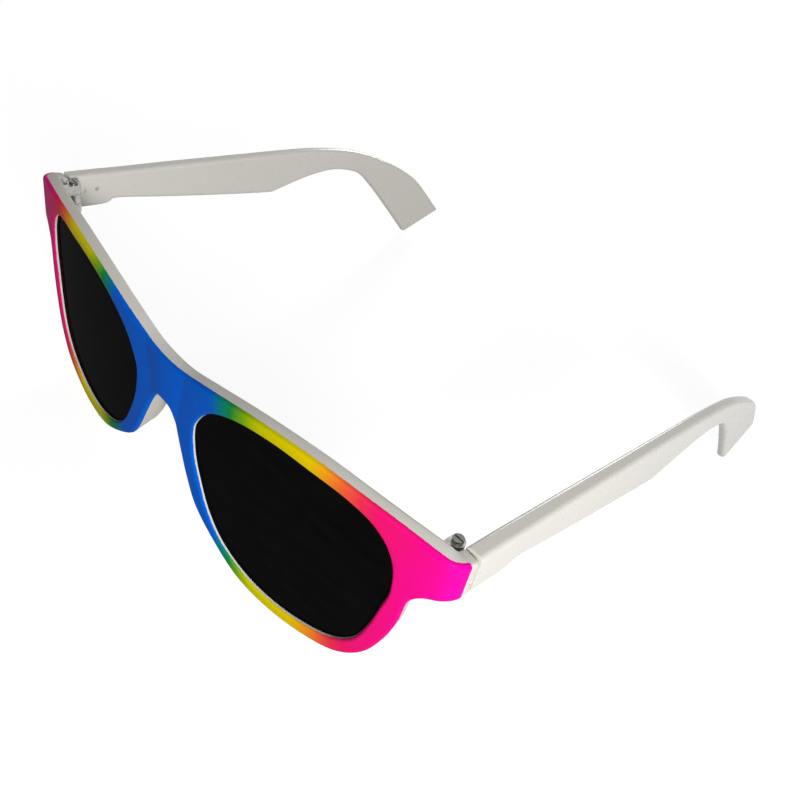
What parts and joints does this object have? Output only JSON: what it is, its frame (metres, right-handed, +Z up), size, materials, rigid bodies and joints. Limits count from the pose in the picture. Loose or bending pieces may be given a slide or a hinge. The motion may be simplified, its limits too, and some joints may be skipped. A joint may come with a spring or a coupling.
{
  "type": "diffraction glasses",
  "caption": "Full-rim folding glasses with a rainbow-faced curved front, dark lenses backed by grating film, and white arms on metal screw hinges.",
  "frame": {"origin": "on the surface the glasses stand on, under the middle of their bounding box", "axes": "+X to the right as seen from the front's painted side, which is the wearer's left, +Y from the front back along the open arms, +Z up"},
  "size_m": [0.1448, 0.1556, 0.0471],
  "materials": {
    "frame_plastic": "gloss",
    "arm_plastic": "gloss",
    "dark_lens": "polished",
    "grating_film": "clear film",
    "hinge_metal": "satin",
    "screw_metal": "satin",
    "rivet_metal": "satin"
  },
  "bodies": {
    "front": {"front_frame": "frame_plastic", "lens_left": "dark_lens", "lens_right": "dark_lens", "grating_film_left": "grating_film", "grating_film_right": "grating_film", "front_hinge_left": "hinge_metal", "front_hinge_right": "hinge_metal", "hinge_screw_left": "screw_metal", "hinge_screw_right": "screw_metal", "front_rivets_left": "rivet_metal", "front_rivets_right": "rivet_metal"},
    "arm_left": {"temple_left": "arm_plastic", "temple_hinge_left": "hinge_metal", "temple_rivets_left": "rivet_metal"},
    "arm_right": {"temple_right": "arm_plastic", "temple_hinge_right": "hinge_metal", "temple_rivets_right": "rivet_metal"}
  },
  "joints": [
    {"name": "arm_right_fold", "type": "hinge", "parent": "front", "child": "arm_right", "pos_m": [0.06685, -0.06224, 0.0394], "axis": [0, 0, 1], "range_deg": [0, 90]},
    {"name": "arm_left_fold", "type": "hinge", "parent": "front", "child": "arm_left", "pos_m": [-0.06685, -0.06224, 0.0394], "axis": [0, 0, -1], "range_deg": [0, 84]}
  ]
}
